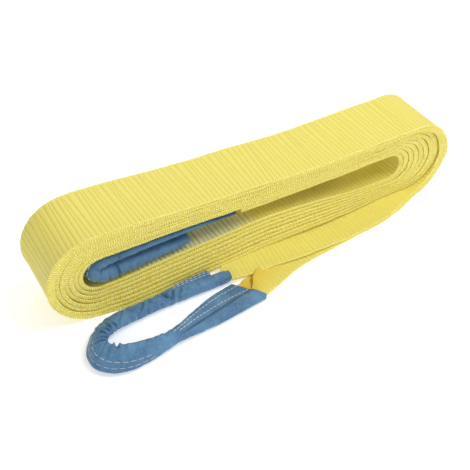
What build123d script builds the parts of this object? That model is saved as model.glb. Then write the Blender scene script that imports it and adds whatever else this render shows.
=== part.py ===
from build123d import *
import math
import os

# A flat two-ply webbing sling with a soft eye at each end, wound up flat and laid down.
# X runs along the coil, Y across the webbing, Z is up.  Millimetres.

# ---- driving dimensions -------------------------------------------------------------
WIDTH = 90.0          # webbing width
PLY = 3.3             # thickness of one ply
PLY_GAP = 0.3         # air and sewing thread between the two plies
TURNS = 5             # layers in the upper stack
COIL_LEFT = 2.0       # left end of the outermost turn
COIL_RIGHT = 605.0    # right end of the outermost turn
THREAD = 0.2          # thickness of the thread that lies between the plies
THREAD_WIDTH = 1.2
SEAM_INSET = 10.0     # distance of each long seam from its edge

TWO_PLY = 2 * PLY + PLY_GAP
PLY_OFFSET = (PLY + PLY_GAP) / 2

# heights of the layers' middle lines at the two ends of the coil
FLOOR_LAYER = TWO_PLY / 2
RIGHT_TOP = 108.0
RIGHT_UPPER_PITCH = 7.4
RIGHT_LOWER_PITCH = 7.2
LEFT_TOP = 120.5
LEFT_UPPER_PITCH = 10.5
LEFT_LOWER_PITCH = 10.0
WAIST_TOP = 105.0     # the upper stack dips a little between the two bends
WAIST_PITCH = 7.2

# where the runs start, dip and fan out
RIGHT_BEND_STEP = 9.6     # the inner right bends stand back from the outer one
LEFT_BEND_STEP = 2.0
UPPER_WAIST_X = (246.0, 392.0)
# the loose lower runs bow up in the middle: x, height of turn 5, pitch, share of the fan
LOWER_BOW = (
    (236.0, 13.0, 10.7, 0.6),
    (300.0, 18.5, 10.0, 1.0),
    (380.0, 15.0, 8.7, 1.0),
    (450.0, 10.65, 7.2, 0.6),
)
FAN_OUT = 13.0            # how far the lowest coiled ply stands out in front

# the free tail, which leaves the coil underneath, towards the front
TAIL_START_Y = -6.0
TAIL_SPLIT = (430.0, -49.0)
HINGE_X = 262.0           # the sleeved eye folds up along this line
TAIL_LOWER_EDGE = ((430.0, -49.0, 41.0), (330.0, -57.0, 22.0), (HINGE_X, -84.0, -37.0))
TAIL_UPPER_EDGE = ((430.0, -49.0, 41.0), (330.0, -51.0, 39.0), (HINGE_X, -45.0, -23.0))
HINGE_CLEARANCE = 0.2

# the free eye: stations along its loop, from the back leg round the bight to the front leg:
# x, y, z of the middle, sleeve width, sleeve thickness, lean of the width in degrees
EYE_STATIONS = (
    (230.0, -36.0, 9.5, 20.0, 17.0, 0.0),
    (165.0, -34.0, 9.5, 19.0, 17.0, 0.0),
    (100.0, -34.0, 9.5, 20.0, 17.0, 8.0),
    (62.0, -40.0, 11.5, 24.0, 16.0, 20.0),
    (38.0, -58.0, 14.5, 30.0, 14.0, 35.0),
    (32.0, -78.0, 16.0, 32.0, 13.0, 42.0),
    (46.0, -93.0, 16.8, 32.0, 12.0, 50.0),
    (75.0, -98.0, 15.5, 28.0, 12.0, 60.0),
    (118.0, -96.0, 11.5, 18.0, 13.0, 50.0),
    (150.0, -90.0, 12.4, 26.0, 12.0, 35.0),
    (195.0, -79.0, 9.8, 40.0, 10.0, 14.0),
    (241.0, -68.5, 5.5, 47.0, 9.4, 2.0),
)
SLEEVE_WALL = 1.6
SLEEVE_CLEARANCE = 0.3
BARE_END = 3.6        # thickness of the gathered webbing between sleeve and hinge line
BARE_INSET = 4.0
BARE_OVERLAP = 4.0
THREAD_HEIGHT = 0.7
THREAD_LIFT = 0.1
EDGE_ROUND = 0.55     # bevel of the sleeve's long edges, as a share of half its thickness
STITCH_PITCH = 9.0
STITCH_BREAK = 0.16   # share of the pitch left bare at each end of a stitch

# the inner eye, which lies in the hollow of the coil
INNER_EYE_X = 78.0
INNER_EYE_Z = 61.2
INNER_EYE_R = 17.0
INNER_EYE_TIP = 266.0
INNER_EYE_Y = 4.0
INNER_EYE_WIDTH = 46.0
INNER_WEB = 2 * PLY
INNER_SLEEVE = 10.6
INNER_TOP_TIP_Z = 72.6
INNER_LOW_TIP_Z = 65.8
INNER_SLEEVE_TOP_END = 243.0
INNER_SLEEVE_LOW_END = 193.0

# the stitching between the plies at the base of each eye
STITCH_ROWS = 6
STITCH_LENGTH = 66.0
STITCH_INSET = 10.0
STITCH_THICKNESS = 0.16

# the identification label, sewn under the innermost upper run
LABEL_X = (350.0, 450.0)
LABEL_WIDTH = 52.0
LABEL_Y = 37.0
LABEL_THICKNESS = 1.0
LABEL_HEM = 9.0
LABEL_DROP = 19.0         # degrees that the free end hangs down, onto the lower stack

os.makedirs("parts", exist_ok=True)


# ---- heights and places of the layers ------------------------------------------------
def right_upper(turn):
    return RIGHT_TOP - RIGHT_UPPER_PITCH * (TURNS - turn)


def right_lower(turn):
    return FLOOR_LAYER + RIGHT_LOWER_PITCH * (TURNS + 1 - turn)


def left_upper(turn):
    return LEFT_TOP - LEFT_UPPER_PITCH * (TURNS - turn)


def left_lower(turn):
    return FLOOR_LAYER + LEFT_LOWER_PITCH * (TURNS - turn)


def waist(turn):
    return WAIST_TOP - WAIST_PITCH * (TURNS - turn)


def right_bend_x(turn):
    outer = COIL_RIGHT - TWO_PLY / 2 - (RIGHT_TOP - FLOOR_LAYER) / 2
    return outer - RIGHT_BEND_STEP * (TURNS - turn)


def left_bend_x(turn):
    outer = COIL_LEFT + TWO_PLY / 2 + (LEFT_TOP - FLOOR_LAYER) / 2
    return outer + LEFT_BEND_STEP * (TURNS - turn)


def right_bend_y(turn):
    return TAIL_START_Y if turn == TURNS else -0.8 * turn


def left_bend_y(turn):
    return -1.5 * (turn - 1)


def fan_y(turn, side):
    """Front edge of a lower ply where the stack fans out; side is +1 for the outer ply."""
    place = 2 * (turn - 2) + (1 if side > 0 else 0)
    return -FAN_OUT * place / (2 * TURNS - 3)


# ---- strap pieces ---------------------------------------------------------------------
def slab(start, end, thick):
    """A straight stretch of strap between two upright end rectangles (x, z, y0, y1)."""
    faces = []
    for x, z, y0, y1 in (start, end):
        corners = [
            (x, y0, z - thick / 2),
            (x, y1, z - thick / 2),
            (x, y1, z + thick / 2),
            (x, y0, z + thick / 2),
        ]
        faces.append(Face(Wire.make_polygon([Vector(*c) for c in corners], close=True)))
    return loft(faces, ruled=True)


def half_bend(x, z_low, z_high, y0, y1, offset, thick, sign):
    """A half-round bend, to the right for sign +1 and to the left for sign -1."""
    middle = (z_low + z_high) / 2
    radius = (z_high - z_low) / 2 + offset
    plane = Plane(origin=(x, y0, middle), x_dir=(1, 0, 0), z_dir=(0, -1, 0))
    ring = Circle(radius + thick / 2) - Circle(radius - thick / 2)
    side = Pos(sign * radius, 0) * Rectangle(2 * radius, 4 * radius)
    return extrude(plane * (ring & side), amount=-(y1 - y0))


def strap(side, thick, inset=0.0, width=WIDTH):
    """One ply, or a seam between the plies, from the hinge line to the inner eye."""
    offset = side * PLY_OFFSET
    pieces = []

    def ends(y):
        return y + inset, y + inset + width

    # the free tail, flat on the ground, then each turn from the outside inwards
    edges = TAIL_LOWER_EDGE if side > 0 else TAIL_UPPER_EDGE
    level = FLOOR_LAYER - offset
    if side == 0:
        places = [(TAIL_SPLIT[0], level, *ends(TAIL_SPLIT[1]))]
    else:
        places = [(x, level, y0, y1) for x, y0, y1 in reversed(edges)]
        places[0] = (HINGE_X + HINGE_CLEARANCE / 2, *places[0][1:])
    places.append((right_bend_x(TURNS), level, *ends(TAIL_START_Y)))
    pieces += [slab(a, b, thick) for a, b in zip(places, places[1:])]

    for turn in range(TURNS, 0, -1):
        y_right = right_bend_y(turn)
        low = FLOOR_LAYER if turn == TURNS else right_lower(turn + 1)
        x_right = right_bend_x(turn)
        pieces.append(
            half_bend(x_right, low, right_upper(turn), *ends(y_right), offset, thick, 1)
        )
        run = [(x_right, right_upper(turn) + offset, *ends(y_right))]
        run.append((UPPER_WAIST_X[1], waist(turn) + offset, *ends(y_right)))
        if turn == 1:
            run.append((INNER_EYE_TIP + 1.0, waist(turn) + offset, *ends(0.0)))
            pieces += [slab(b, a, thick) for a, b in zip(run, run[1:])]
            break
        y_left = left_bend_y(turn)
        x_left = left_bend_x(turn)
        run.append((UPPER_WAIST_X[0], waist(turn) + offset, *ends(0.0)))
        run.append((x_left, left_upper(turn) + offset, *ends(y_left)))
        pieces += [slab(b, a, thick) for a, b in zip(run, run[1:])]
        pieces.append(
            half_bend(x_left, left_lower(turn), left_upper(turn), *ends(y_left), offset, thick, -1)
        )
        next_right = right_bend_x(turn - 1)
        level = right_lower(turn) - offset
        y_fan = fan_y(turn, side)
        run = [(x_left, left_lower(turn) - offset, *ends(y_left))]
        for x, base, pitch, share in LOWER_BOW:
            bow = base + pitch * (TURNS - turn) - offset
            run.append((x, bow, *ends(y_left + (y_fan - y_left) * share)))
        run.append((next_right, level, *ends(right_bend_y(turn - 1))))
        pieces += [slab(a, b, thick) for a, b in zip(run, run[1:])]
    whole = pieces[0].fuse(*pieces[1:])
    return whole


# ---- the free eye -----------------------------------------------------------------------
def eye_frame(index):
    """The plane of one station: its x across the sleeve's width, its z along the loop."""
    x, y, z, width, thick, lean = EYE_STATIONS[index]
    before = EYE_STATIONS[max(index - 1, 0)]
    after = EYE_STATIONS[min(index + 1, len(EYE_STATIONS) - 1)]
    along = Vector(after[0] - before[0], after[1] - before[1], 0).normalized()
    outward = Vector(0, 0, 1).cross(along) * -1
    tilt = math.radians(lean)
    across = outward * math.cos(tilt) + Vector(0, 0, -1) * math.sin(tilt)
    return Plane(origin=(x, y, z), x_dir=across, z_dir=along * -1), width, thick


def eye_section(index, shrink):
    """An eight-sided flat oval across the loop, smaller by shrink all round."""
    plane, width, thick = eye_frame(index)
    a = width / 2 - shrink
    b = thick / 2 - shrink
    c = b * EDGE_ROUND
    outline = [(a, -b + c), (a, b - c), (a - c, b), (-a + c, b), (-a, b - c), (-a, -b + c)]
    outline += [(-a + c, -b), (a - c, -b)]
    return plane * Face(Wire.make_polygon([Vector(u, v, 0) for u, v in outline], close=True))


def eye_loop(shrink):
    return loft([eye_section(i, shrink) for i in range(len(EYE_STATIONS))], ruled=True)


def free_eye_webbing():
    """The folded webbing inside the sleeve, with both bare ends at the hinge line."""
    body = eye_loop(SLEEVE_WALL + SLEEVE_CLEARANCE)
    edge = HINGE_X - HINGE_CLEARANCE / 2
    ends = []
    for station, hinge_edge, level in (
        (EYE_STATIONS[0], TAIL_UPPER_EDGE[2], TWO_PLY - BARE_END / 2),
        (EYE_STATIONS[-1], TAIL_LOWER_EDGE[2], BARE_END),
    ):
        x, y, z, width, thick, lean = station
        half = width / 2 - BARE_INSET
        inside = (x - BARE_OVERLAP, z, y - half, y + half)
        ends.append(slab(inside, (edge, level, hinge_edge[1], hinge_edge[2]), BARE_END))
    return body.fuse(*ends)


def free_eye_sleeve():
    return eye_loop(0.0) - eye_loop(SLEEVE_WALL)


def stitch_corners(index, share):
    """The four corners of a stitch's cross-section at one station, on top of the sleeve."""
    plane, width, thick = eye_frame(index)
    u = share * (width / 2 - thick / 2 * EDGE_ROUND)
    v = thick / 2 + THREAD_LIFT
    a = THREAD_WIDTH / 2
    outline = [(u + a, v), (u + a, v + THREAD_HEIGHT), (u - a, v + THREAD_HEIGHT), (u - a, v)]
    return [plane.from_local_coords((p, q, 0)) for p, q in outline]


def seam_row(share, first, last):
    """A row of separate stitches along the sleeve, at a share of its half width."""
    stitches = []
    for index in range(first, last):
        start = stitch_corners(index, share)
        end = stitch_corners(index + 1, share)
        count = max(1, round((end[0] - start[0]).length / STITCH_PITCH))
        for number in range(count):
            faces = []
            for part in (number + STITCH_BREAK, number + 1 - STITCH_BREAK):
                corners = [a + (b - a) * (part / count) for a, b in zip(start, end)]
                faces.append(Face(Wire.make_polygon(corners, close=True)))
            stitches.append(loft(faces, ruled=True))
    return Compound(children=stitches)


# ---- the inner eye ------------------------------------------------------------------------
def teardrop(thick, low_end, top_end, inset=0.0):
    """The inner eye's loop seen from the front: a left bend with two straight legs."""
    x, z, r = INNER_EYE_X, INNER_EYE_Z, INNER_EYE_R
    y0, y1 = INNER_EYE_Y + inset, INNER_EYE_Y + INNER_EYE_WIDTH - inset
    reach = INNER_EYE_TIP - x
    top_slope = (INNER_TOP_TIP_Z - (z + r)) / reach
    low_slope = (INNER_LOW_TIP_Z - (z - r)) / reach
    bend = half_bend(x, z - r, z + r, y0, y1, 0.0, thick, -1)
    top = slab((x, z + r, y0, y1), (top_end, z + r + top_slope * (top_end - x), y0, y1), thick)
    low = slab((x, z - r, y0, y1), (low_end, z - r + low_slope * (low_end - x), y0, y1), thick)
    return bend.fuse(top, low)


def inner_eye_webbing():
    inset = SLEEVE_WALL + SLEEVE_CLEARANCE
    return teardrop(INNER_WEB, INNER_EYE_TIP, INNER_EYE_TIP, inset)


def inner_eye_sleeve():
    outer = teardrop(INNER_SLEEVE, INNER_SLEEVE_LOW_END, INNER_SLEEVE_TOP_END)
    wide = INNER_WEB + 2 * SLEEVE_CLEARANCE
    hollow = teardrop(wide, INNER_EYE_TIP, INNER_EYE_TIP, SLEEVE_WALL)
    return outer - hollow


def inner_eye_seam(y):
    """Two thread rows down the outside of the inner eye's left bend and lower leg."""
    radius = INNER_SLEEVE / 2 + THREAD_LIFT + THREAD_HEIGHT / 2
    x, z, r = INNER_EYE_X, INNER_EYE_Z, INNER_EYE_R
    return half_bend(x, z - r, z + r, y, y + THREAD_WIDTH, radius, THREAD_HEIGHT, -1)


def base_stitching(x_first, x_last, level, y_first, y_last):
    """Rows of thread along the webbing, between the plies, where an eye begins."""
    rows = []
    for row in range(STITCH_ROWS):
        share = (row + 1) / (STITCH_ROWS + 1)
        ends = []
        for x, y in ((x_first, y_first), (x_last, y_last)):
            y_row = y + SEAM_INSET + share * (WIDTH - 2 * SEAM_INSET)
            ends.append((x, level, y_row, y_row + THREAD_WIDTH))
        rows.append(slab(*ends, STITCH_THICKNESS))
    return Compound(children=rows)


def free_eye_stitching():
    x_end = right_bend_x(TURNS)
    slope = (TAIL_START_Y - TAIL_SPLIT[1]) / (x_end - TAIL_SPLIT[0])
    x_first = TAIL_SPLIT[0] + STITCH_INSET
    x_last = x_first + STITCH_LENGTH
    y_first = TAIL_SPLIT[1] + slope * (x_first - TAIL_SPLIT[0])
    y_last = TAIL_SPLIT[1] + slope * (x_last - TAIL_SPLIT[0])
    return base_stitching(x_first, x_last, FLOOR_LAYER, y_first, y_last)


def inner_eye_stitching():
    """The same rows where they show, on the underside of the innermost upper run."""
    x_first = INNER_EYE_TIP + STITCH_INSET / 2
    level = waist(1) - TWO_PLY / 2 - THREAD_LIFT - STITCH_THICKNESS / 2
    return base_stitching(x_first, x_first + STITCH_LENGTH, level, 0.0, 0.0)


# ---- the label ----------------------------------------------------------------------------
def label_level():
    return waist(1) - TWO_PLY / 2 - 0.6


def label_hem():
    """The sewn strip of the label, held flat under the webbing."""
    x0 = LABEL_X[0] - LABEL_HEM
    middle = (x0 + LABEL_X[0]) / 2
    return Pos(middle - 0.1, LABEL_Y + LABEL_WIDTH / 2, label_level()) * Box(
        LABEL_HEM - 0.2, LABEL_WIDTH, LABEL_THICKNESS
    )


def label_flap():
    """The free part of the label, hinged where it leaves its seam."""
    length = LABEL_X[1] - LABEL_X[0]
    top = label_level() + LABEL_THICKNESS / 2
    flap = Pos(length / 2 + 0.1, 0, -LABEL_THICKNESS / 2) * Box(
        length - 0.2, LABEL_WIDTH, LABEL_THICKNESS
    )
    turned = Rot(0, LABEL_DROP, 0) * flap
    return Pos(LABEL_X[0], LABEL_Y + LABEL_WIDTH / 2, top) * turned


def label_seam():
    """The thread that sews the hem on, seen from below."""
    z = label_level() - LABEL_THICKNESS / 2 - THREAD / 2 - 0.05
    x0 = LABEL_X[0] - LABEL_HEM
    rows = []
    for x in (x0 + 2.2, LABEL_X[0] - 2.4):
        rows.append(
            Pos(x, LABEL_Y + LABEL_WIDTH / 2, z) * Box(THREAD_WIDTH, LABEL_WIDTH - 4, THREAD)
        )
    return Compound(children=rows)


def main():
    nodes = {
        "coil_outer_ply": strap(1, PLY),
        "coil_inner_ply": strap(-1, PLY),
        "body_seam_near": strap(0, THREAD, SEAM_INSET, THREAD_WIDTH),
        "body_seam_far": strap(0, THREAD, WIDTH - SEAM_INSET, THREAD_WIDTH),
        "free_eye_webbing": free_eye_webbing(),
        "free_eye_sleeve": free_eye_sleeve(),
        "free_eye_seam_upper": seam_row(0.45, 4, 7),
        "free_eye_seam_lower": seam_row(0.95, 4, 7),
        "free_eye_leg_seam_back": seam_row(-0.5, 9, 11),
        "free_eye_leg_seam_front": seam_row(0.1, 9, 11),
        "free_eye_base_stitching": free_eye_stitching(),
        "inner_eye_webbing": inner_eye_webbing(),
        "inner_eye_sleeve": inner_eye_sleeve(),
        "inner_eye_seam_near": inner_eye_seam(INNER_EYE_Y + 12.0),
        "inner_eye_seam_far": inner_eye_seam(INNER_EYE_Y + 22.0),
        "inner_eye_base_stitching": inner_eye_stitching(),
        "label_hem": label_hem(),
        "label_flap": label_flap(),
        "label_seam": label_seam(),
    }
    # the origin is the middle of the underside of the whole sling
    boxes = [shape.bounding_box() for shape in nodes.values()]
    middle_x = (min(box.min.X for box in boxes) + max(box.max.X for box in boxes)) / 2
    middle_y = (min(box.min.Y for box in boxes) + max(box.max.Y for box in boxes)) / 2
    print("origin at", middle_x, middle_y, min(box.min.Z for box in boxes))
    place = Pos(-middle_x, -middle_y, 0)
    for name, shape in nodes.items():
        export_step(place * shape, f"parts/{name}.step")


main()
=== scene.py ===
import bpy
import numpy as np
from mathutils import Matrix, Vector


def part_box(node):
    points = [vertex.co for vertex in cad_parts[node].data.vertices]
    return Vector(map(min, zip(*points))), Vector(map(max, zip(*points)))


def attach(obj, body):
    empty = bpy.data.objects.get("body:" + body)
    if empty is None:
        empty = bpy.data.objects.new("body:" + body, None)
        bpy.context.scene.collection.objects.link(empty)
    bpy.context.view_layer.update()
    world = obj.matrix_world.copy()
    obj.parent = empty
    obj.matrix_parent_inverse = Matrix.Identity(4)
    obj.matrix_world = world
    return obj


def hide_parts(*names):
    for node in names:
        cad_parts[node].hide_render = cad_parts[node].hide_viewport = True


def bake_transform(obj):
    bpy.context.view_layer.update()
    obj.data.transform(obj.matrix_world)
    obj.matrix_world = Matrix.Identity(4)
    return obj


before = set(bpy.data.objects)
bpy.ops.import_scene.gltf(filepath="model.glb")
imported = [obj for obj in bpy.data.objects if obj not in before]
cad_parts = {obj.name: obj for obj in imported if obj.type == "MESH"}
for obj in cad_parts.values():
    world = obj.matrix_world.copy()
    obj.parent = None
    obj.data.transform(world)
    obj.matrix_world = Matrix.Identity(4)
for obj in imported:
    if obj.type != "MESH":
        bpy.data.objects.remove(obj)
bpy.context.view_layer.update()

# ---- the sling in millimetres, x along the coil, y to the back, z up ------------------
WIDTH = 90.0
TURNS = 5
RIB = 6.2                 # one rib of the weave
LOOP = 3.1                # one weft loop on the selvedge
STEP = RIB / 8            # distance between two rings of the strap
SELVEDGE_MAX = 4.15       # half the height of the thickest selvedge

PLY = 3.1
LEFT_PLY = 4.0            # a ply looks thicker in the left bend
PLY_OFFSET = 1.8          # from the middle of the strap to the middle of a ply
LEFT_OFFSET = 2.6         # the plies stand further apart in the left bend
OUTER_LEFT_GAP = 0.4      # the outermost ply stands only this much further out there
FLOOR_LAYER = 3.45

COIL_LEFT, COIL_RIGHT = 2.0, 602.5
RIGHT_STEP, LEFT_STEP = 9.6, 2.0        # how far each bend stands back from the one outside it
RIGHT_PITCH, LEFT_PITCH = 7.3, 10.4     # height of one turn at the ends of the bends
RIGHT_TOP, LEFT_TOP, WAIST_TOP = 108.0, 120.5, 105.0
RIGHT_UPPER_PITCH, RIGHT_LOWER_PITCH = 7.4, 7.2
LEFT_UPPER_PITCH, LEFT_LOWER_PITCH = 10.5, 10.0
WAIST_PITCH = 7.2
INNER_END_X = 267.0       # where the innermost turn ends
FAN_OUT = 13.0            # how far the lowest coiled ply stands out in front

HINGE_X = 262.0
BLEND_START_X, BLEND_END_X = HINGE_X + 22, HINGE_X - 10
BLEND_Z = 7.2

SEAM_INSETS = {"body_seam_near": 10.6, "body_seam_far": 79.4}
INNER_GIRTH = 100.0

RUN_SAMPLES, BEND_SAMPLES = 900, 500
EYE_RINGS, EYE_AROUND = 500, 94
INNER_RINGS, INNER_AROUND = 520, 64

near_low, near_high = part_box("coil_outer_ply")
SHIFT = np.array([near_low.x * 1000 - 2.0, near_high.y * 1000 - WIDTH, 0.0])


def metres(points):
    """Points of this script, in millimetres, as places in the frame."""
    return (np.asarray(points, float) + SHIFT) / 1000


def smooth(x, low, high):
    """0 at low, 1 at high, and an even slope between them. High may be the smaller."""
    t = np.clip((np.asarray(x, float) - low) / (np.asarray(high) - low), 0, 1)
    return t * t * (3 - 2 * t)


def wander(u, seed, length):
    """A slow uneven wave between about -1 and 1 along u."""
    total = 0
    for i, (share, rate) in enumerate(((0.5, 1.0), (0.3, 1.9), (0.2, 3.3))):
        total = total + share * np.sin(2 * np.pi * rate * u / length + 2.4 * seed * (i + 1) + i)
    return total


def along_curve(points, count):
    """A smooth curve through rows of numbers, evenly sampled by row number."""
    p = np.asarray(points, float)
    q = np.linspace(0, len(p) - 1, count)
    i = np.minimum(q.astype(int), len(p) - 2)
    t = (q - i)[:, None]
    p0 = p[np.maximum(i - 1, 0)]
    p1, p2 = p[i], p[i + 1]
    p3 = p[np.minimum(i + 2, len(p) - 1)]
    return 0.5 * (
        2 * p1 + (p2 - p0) * t + (2 * p0 - 5 * p1 + 4 * p2 - p3) * t**2
        + (3 * p1 - p0 - 3 * p2 + p3) * t**3
    )


def blur(values, sigma):
    """The values smoothed over sigma of their steps, with their ends kept."""
    reach = int(3 * sigma)
    kernel = np.exp(-0.5 * (np.arange(-reach, reach + 1) / sigma) ** 2)
    kernel /= kernel.sum()
    before = 2 * values[0] - values[reach:0:-1]
    after = 2 * values[-1] - values[-2:-reach - 2:-1]
    return np.convolve(np.concatenate([before, values, after]), kernel, "valid")


def unit(v):
    return v / np.linalg.norm(v, axis=-1, keepdims=True)


# ---- meshes ---------------------------------------------------------------------------
def add_mesh(name, vertices, quads, values=None):
    """A closed mesh with shader values on its points, facing outwards and not below the floor."""
    vertices = metres(vertices)
    vertices[:, 2] = np.maximum(vertices[:, 2], 0.0)
    a, b, c, d = (vertices[quads[:, i]] for i in range(4))
    volume = (np.cross(a, b) * c).sum() + (np.cross(a, c) * d).sum()
    if volume < 0:
        quads = quads[:, ::-1]
    quads = np.ascontiguousarray(quads, np.int32)
    mesh = bpy.data.meshes.new(name)
    mesh.vertices.add(len(vertices))
    mesh.vertices.foreach_set("co", vertices.astype(np.float32).ravel())
    mesh.loops.add(quads.size)
    mesh.loops.foreach_set("vertex_index", quads.ravel())
    mesh.polygons.add(len(quads))
    mesh.polygons.foreach_set("loop_start", np.arange(0, quads.size, 4, dtype=np.int32))
    mesh.update(calc_edges=True)
    mesh.validate()
    mesh.polygons.foreach_set("use_smooth", np.ones(len(mesh.polygons), bool))
    for key, numbers in (values or {}).items():
        attribute = mesh.attributes.new(key, "FLOAT", "POINT")
        attribute.data.foreach_set("value", np.ascontiguousarray(numbers, np.float32).ravel())
    thing = bpy.data.objects.new(name, mesh)
    bpy.context.scene.collection.objects.link(thing)
    return thing


def tube_quads(rings, around, capped=True, first=0):
    """The faces between rings of points, and over the two end rings."""
    i, j = np.meshgrid(np.arange(rings - 1), np.arange(around), indexing="ij")
    k = (j + 1) % around
    quads = np.stack([i * around + j, (i + 1) * around + j, (i + 1) * around + k, i * around + k], -1)
    quads = quads.reshape(-1, 4)
    if capped:
        n = np.arange(around // 2 - 1)
        cap = np.stack([n, n + 1, around - 2 - n, around - 1 - n], -1)
        quads = np.concatenate([quads, cap, cap[:, ::-1] + (rings - 1) * around])
    return quads + first


def tube(name, rings, values=None):
    count, around, _ = rings.shape
    return add_mesh(name, rings.reshape(-1, 3), tube_quads(count, around), values)


# ---- the strap --------------------------------------------------------------------------
# Turns are counted from the inside: turn 1 is the innermost and turn TURNS is the outermost.
def right_upper(k):
    return RIGHT_TOP - RIGHT_UPPER_PITCH * (TURNS - k)


def right_lower(k):
    return FLOOR_LAYER + RIGHT_LOWER_PITCH * (TURNS + 1 - k)


def left_upper(k):
    return LEFT_TOP - LEFT_UPPER_PITCH * (TURNS - k)


def left_lower(k):
    return FLOOR_LAYER + LEFT_LOWER_PITCH * (TURNS - k)


def waist(k):
    return WAIST_TOP - WAIST_PITCH * (TURNS - k)


def right_x(k):
    return COIL_RIGHT - FLOOR_LAYER - (RIGHT_TOP - FLOOR_LAYER) / 2 - RIGHT_STEP * (TURNS - k)


def left_x(k):
    return COIL_LEFT + FLOOR_LAYER + (LEFT_TOP - FLOOR_LAYER) / 2 + LEFT_STEP * (TURNS - k)


def right_y(k):
    return -6.0 if k == TURNS else -0.8 * k


def left_y(k):
    return -1.5 * (k - 1)


def fan(k, side):
    """How far the lower run of one ply stands out in front."""
    return -FAN_OUT * (2 * (k - 2) + (side > 0)) / (2 * TURNS - 3)


def is_outermost(k, side):
    return k == TURNS and side > 0


# the loose lower runs bow up in the middle: x, height of the outermost turn, pitch, share of the fan
LOWER_BOW = np.array([
    (236.0, 10.4, 10.3, 1.1), (300.0, 15.6, 10.2, 1.1), (380.0, 15.0, 8.7, 1.05), (450.0, 10.65, 7.2, 0.6),
])

# the tail on the ground: x, front edge, back edge, height of the middle, thickness
LOWER_TAIL = [
    (232, -88, -67, 5.2, 2.6), (244, -87.5, -70, 5.3, 2.8), (254, -86, -61, 5.2, PLY),
    (268, -80, -47, 3.7, PLY), (284, -73.5, -36, 2.0, PLY), (302, -66.5, -34, 1.8, PLY),
    (318, -61, -28, 1.7, PLY), (334, -58, -12, 1.65, PLY), (352, -56, 29, 1.65, PLY),
    (377, -53.5, 34, 1.65, PLY), (402, -50, 38.5, 1.65, PLY), (429, -47, 42.5, 1.65, PLY),
    (452, -44.8, 45, 1.65, PLY), (475, -41.6, 48.4, 1.65, PLY), (493, -37.6, 52.4, 1.65, PLY),
    (510, -32.5, 57.5, 1.65, PLY), (524, -27, 63, 1.65, PLY), (536, -21.5, 68.5, 1.65, PLY),
]
UPPER_TAIL = [
    (216, -41, -31, 8.9, 5.0), (222, -41, -20, 8.6, 4.8), (231, -43, -9, 7.6, 4.2),
    (243, -44.8, -7, 6.4, 3.6), (254, -45, -6, 5.6, PLY), (270, -45.6, -5, 5.5, PLY),
    (286, -46.6, 4, 6.0, PLY), (302, -48.2, 14, 6.5, PLY), (320, -50, 26, 6.5, PLY),
    (346, -50.6, 38.6, 6.1, PLY), (373, -50.4, 39.2, 5.7, PLY), (401, -49.4, 40.2, 5.3, PLY),
    (429, -47.4, 42.3, 5.25, PLY), (452, -45, 44.8, 5.25, PLY), (475, -41.6, 48.4, 5.25, PLY),
    (493, -37.6, 52.4, 5.25, PLY), (510, -32.5, 57.5, 5.25, PLY), (524, -27, 63, 5.25, PLY),
    (536, -21.5, 68.5, 5.25, PLY),
]


def edge_table(x, y, z, thick, spacing, width=WIDTH, on_tail=0.0):
    """Rows of x, y, z, width, thickness, on-tail and half the selvedge's height."""
    selvedge = np.minimum(np.divide(spacing, 2), SELVEDGE_MAX)
    return np.column_stack(np.broadcast_arrays(x, y, z, width, thick, on_tail, selvedge))


def right_bend(k, side):
    """Up round the right bend, from the run below into the upper run of turn k."""
    low = FLOOR_LAYER if k == TURNS else right_lower(k + 1)
    high = right_upper(k)
    degrees = np.linspace(-90, 90, BEND_SAMPLES)
    angle = np.radians(degrees)
    spacing = (RIGHT_PITCH + RIGHT_STEP * np.cos(angle)) / 2
    radius = (high - low) / 2 + side * (PLY_OFFSET if is_outermost(k, side) else spacing / 2)
    # the outermost turn is pinched to a blunt tip, and its foot stands forward
    tip = 0.6 if k < TURNS else (3.0 if side > 0 else 1.0)
    point = tip * np.exp(-(((degrees + 6) / 15) ** 2))
    y = right_y(k) - (10.0 * (1 - smooth(degrees, -100, -20)) if k == TURNS else 0)
    x = right_x(k) + (radius + point) * np.cos(angle)
    z = (low + high) / 2 + radius * np.sin(angle)
    return edge_table(x, y, z, PLY + 4.2 * np.cos(angle), spacing)


def upper_run(k, side):
    """Back along the top, dipping at the waist. The innermost turn ends half way."""
    right, left = right_x(k), left_x(k)
    x = np.linspace(right, INNER_END_X if k == 1 else left, RUN_SAMPLES)[1:]
    leftness = smooth(x, 215, 75)
    widening = OUTER_LEFT_GAP if is_outermost(k, side) else LEFT_OFFSET - PLY_OFFSET
    z = waist(k) + (right_upper(k) - waist(k)) * smooth(x, 372, right)
    z = z + side * (PLY_OFFSET + widening * leftness)
    y = right_y(k) * smooth(x, 246, 392)
    if k > 1:
        z = z + (left_upper(k) - waist(k)) * smooth(x, 262, left)
        y = y + left_y(k) * smooth(x, 246, left)
    return edge_table(x, y, z, PLY + (LEFT_PLY - PLY) * leftness, 3.6 + 1.6 * leftness)


def left_bend(k, side):
    """Down round the left bend of turn k."""
    degrees = np.linspace(90, 270, BEND_SAMPLES)[1:]
    angle = np.radians(degrees)
    spacing = (LEFT_PITCH - LEFT_STEP * np.cos(angle)) / 2
    radius = (left_upper(k) - left_lower(k)) / 2 + side * spacing / 2
    if is_outermost(k, side):
        widening = OUTER_LEFT_GAP * smooth(degrees, 270, 90)
        radius = (left_upper(k) - left_lower(k)) / 2 + PLY_OFFSET + widening
    y = left_y(k) + (0.7 * fan(k, side) - left_y(k)) * smooth(degrees, 150, 270)
    z = (left_upper(k) + left_lower(k)) / 2 + radius * np.sin(angle)
    return edge_table(left_x(k) + radius * np.cos(angle), y, z, LEFT_PLY, spacing)


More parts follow.
